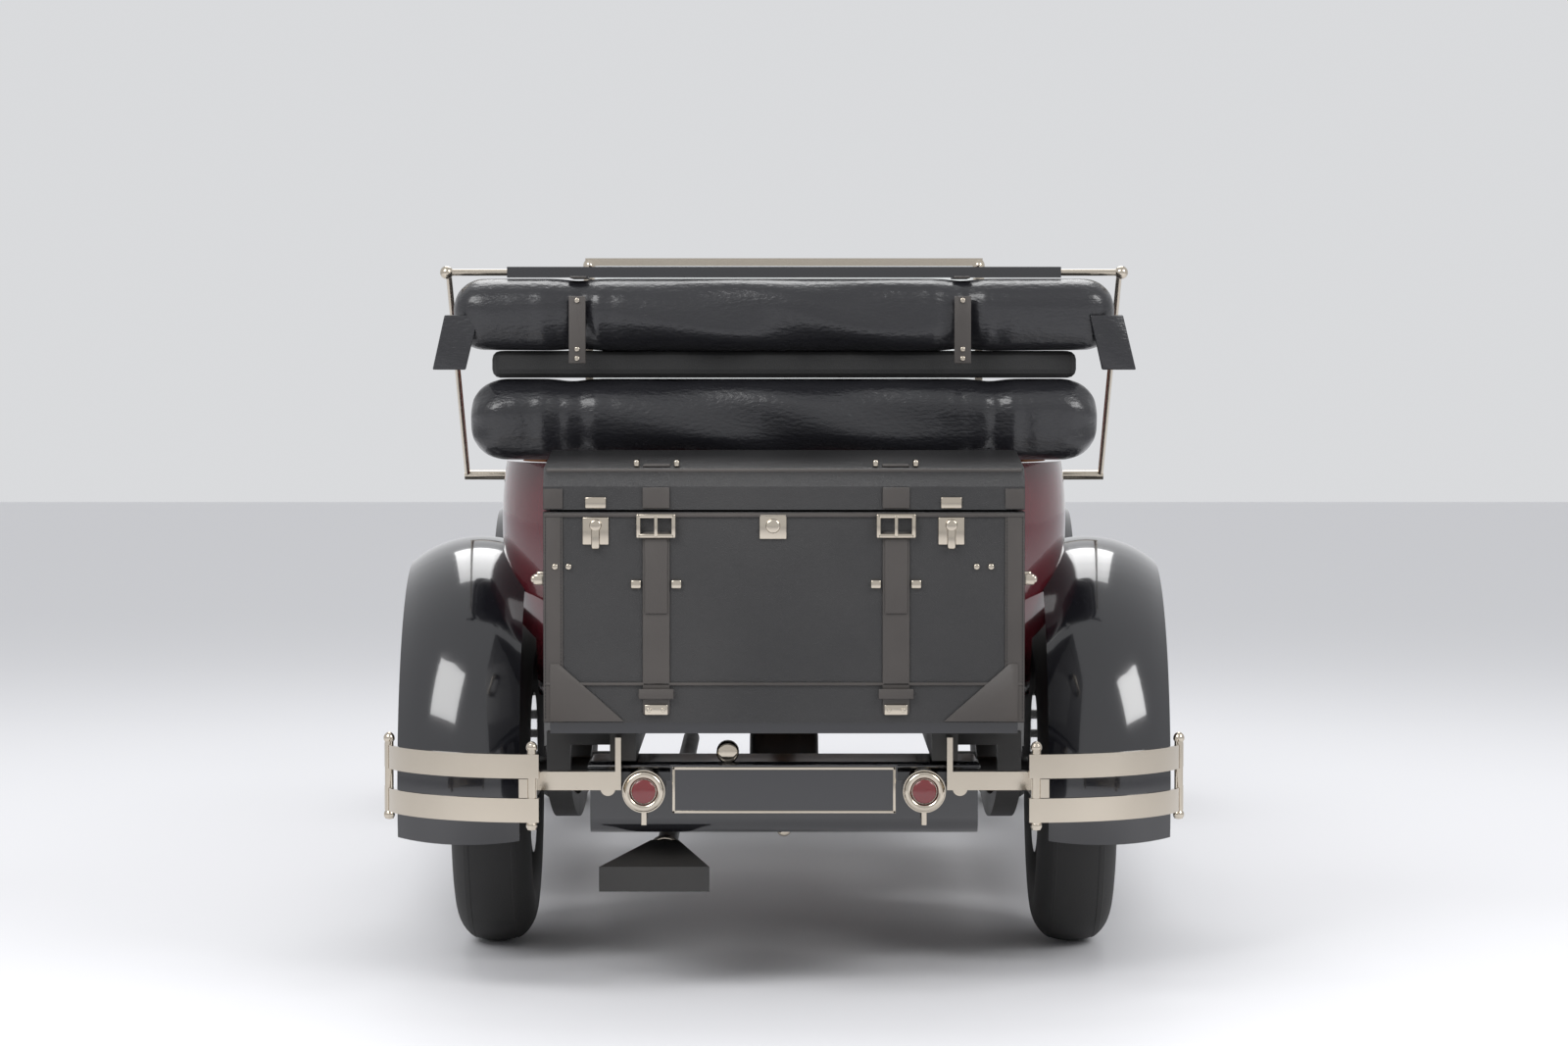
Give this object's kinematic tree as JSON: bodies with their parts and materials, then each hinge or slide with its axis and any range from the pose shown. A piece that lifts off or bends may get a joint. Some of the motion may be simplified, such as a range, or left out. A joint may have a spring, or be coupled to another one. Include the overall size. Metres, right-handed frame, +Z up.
{
  "type": "vintage open touring car",
  "caption": "Open touring car with folded hood, leather luggage trunk, split rear bumpers, opening doors, bonnet and trunk lid, and steered, turning wheels.",
  "frame": {"origin": "on the floor under the middle of the car", "axes": "+Y forward, +X the car's right, +Z up"},
  "size_m": [1.844, 5.4, 1.7349],
  "materials": {
    "maroon_paint": "gloss",
    "black_paint": "gloss",
    "nickel": "polished",
    "hood_cloth": "semi-gloss",
    "trunk_leather": "semi-gloss",
    "seat_leather": "satin",
    "tyre": "matte",
    "glass": "clear",
    "wood": "satin",
    "cast_iron": "matte"
  },
  "bodies": {
    "car": {"body_shell": "maroon_paint", "floor": "wood", "scuttle": "maroon_paint", "dashboard": "wood", "bonnet_sides": "maroon_paint", "radiator_shell": "nickel", "radiator_core": "black_paint", "engine_block": "cast_iron", "propeller_shaft": "black_paint", "chassis_frame": "black_paint", "rear_springs": "black_paint", "front_springs": "black_paint", "rear_axle": "black_paint", "front_axle": "black_paint", "exhaust": "black_paint", "fuel_tank": "black_paint", "steering_column": "black_paint", "rear_wings": "black_paint", "front_wings": "black_paint", "running_boards": "black_paint", "board_brackets": "black_paint", "trunk_body": "trunk_leather", "luggage_rack": "black_paint", "number_plate": "black_paint", "tail_lamps": "nickel", "rear_bumpers": "nickel", "front_bumper": "nickel", "headlamps": "nickel", "front_seat": "seat_leather", "rear_seat": "seat_leather", "windscreen_frame": "nickel", "windscreen_glass": "glass", "hood_lower_roll": "hood_cloth", "hood_upper_roll": "hood_cloth", "hood_pleats": "hood_cloth", "hood_bow": "wood", "hood_irons": "nickel"},
    "wheel_front_left_body": {"tyre_front_left": "tyre", "wheel_front_left": "black_paint"},
    "door_front_left_body": {"door_front_left": "maroon_paint"},
    "wheel_front_right_body": {"tyre_front_right": "tyre", "wheel_front_right": "black_paint"},
    "door_front_right_body": {"door_front_right": "maroon_paint"},
    "wheel_rear_left_body": {"tyre_rear_left": "tyre", "wheel_rear_left": "black_paint"},
    "door_rear_left_body": {"door_rear_left": "maroon_paint"},
    "wheel_rear_right_body": {"tyre_rear_right": "tyre", "wheel_rear_right": "black_paint"},
    "door_rear_right_body": {"door_rear_right": "maroon_paint"},
    "knuckle_left_body": {"steering_knuckle_left": "black_paint"},
    "bonnet_left_body": {"bonnet_left": "maroon_paint"},
    "knuckle_right_body": {"steering_knuckle_right": "black_paint"},
    "bonnet_right_body": {"bonnet_right": "maroon_paint"},
    "track_rod_body": {"track_rod": "black_paint"},
    "steering_wheel_body": {"steering_wheel": "black_paint"},
    "trunk_lid_body": {"trunk_lid": "trunk_leather"}
  },
  "joints": [
    {"name": "steer_left", "type": "hinge", "parent": "car", "child": "knuckle_left_body", "pos_m": [-0.59, 2.1, 0.42], "axis": [0, 0, 1], "range_deg": [-28, 28]},
    {"name": "spin_front_left", "type": "hinge", "parent": "knuckle_left_body", "child": "wheel_front_left_body", "pos_m": [-0.712, 2.1, 0.42], "axis": [1, 0, 0], "continuous": true},
    {"name": "spin_rear_left", "type": "hinge", "parent": "car", "child": "wheel_rear_left_body", "pos_m": [-0.712, -1.5, 0.42], "axis": [1, 0, 0], "continuous": true},
    {"name": "door_front_left_hinge", "type": "hinge", "parent": "car", "child": "door_front_left_body", "pos_m": [-0.707, 0.6, 0.9], "axis": [0, 0, -1], "range_deg": [0, 65]},
    {"name": "door_rear_left_hinge", "type": "hinge", "parent": "car", "child": "door_rear_left_body", "pos_m": [-0.707, -0.38, 0.9], "axis": [0, 0, -1], "range_deg": [0, 65]},
    {"name": "bonnet_left_hinge", "type": "hinge", "parent": "car", "child": "bonnet_left_body", "pos_m": [-0.006, 1.4, 1.326], "axis": [0, 1, 0], "range_deg": [0, 60]},
    {"name": "steer_right", "type": "hinge", "parent": "car", "child": "knuckle_right_body", "pos_m": [0.59, 2.1, 0.42], "axis": [0, 0, 1], "range_deg": [-28, 28]},
    {"name": "spin_front_right", "type": "hinge", "parent": "knuckle_right_body", "child": "wheel_front_right_body", "pos_m": [0.712, 2.1, 0.42], "axis": [1, 0, 0], "continuous": true},
    {"name": "spin_rear_right", "type": "hinge", "parent": "car", "child": "wheel_rear_right_body", "pos_m": [0.712, -1.5, 0.42], "axis": [1, 0, 0], "continuous": true},
    {"name": "door_front_right_hinge", "type": "hinge", "parent": "car", "child": "door_front_right_body", "pos_m": [0.707, 0.6, 0.9], "axis": [0, 0, 1], "range_deg": [0, 65]},
    {"name": "door_rear_right_hinge", "type": "hinge", "parent": "car", "child": "door_rear_right_body", "pos_m": [0.707, -0.38, 0.9], "axis": [0, 0, 1], "range_deg": [0, 65]},
    {"name": "bonnet_right_hinge", "type": "hinge", "parent": "car", "child": "bonnet_right_body", "pos_m": [0.006, 1.4, 1.326], "axis": [0, -1, 0], "range_deg": [0, 60]},
    {"name": "track_rod_pivot", "type": "hinge", "parent": "knuckle_left_body", "child": "track_rod_body", "pos_m": [-0.59, 1.95, 0.286], "axis": [0, 0, 1], "range_deg": [-28, 28]},
    {"name": "steering_wheel_turn", "type": "hinge", "parent": "car", "child": "steering_wheel_body", "pos_m": [0.33, 0.3, 1.085], "axis": [0, -0.8798, 0.4753], "range_deg": [-420, 420]},
    {"name": "trunk_lid_hinge", "type": "hinge", "parent": "car", "child": "trunk_lid_body", "pos_m": [0, -2.04, 1.235], "axis": [-1, 0, 0], "range_deg": [0, 80]}
  ],
  "couplings": [
    {"joint": "steer_right", "follows": "steer_left", "ratio": 1},
    {"joint": "track_rod_pivot", "follows": "steer_left", "ratio": -1},
    {"joint": "steering_wheel_turn", "follows": "steer_left", "ratio": 15}
  ]
}
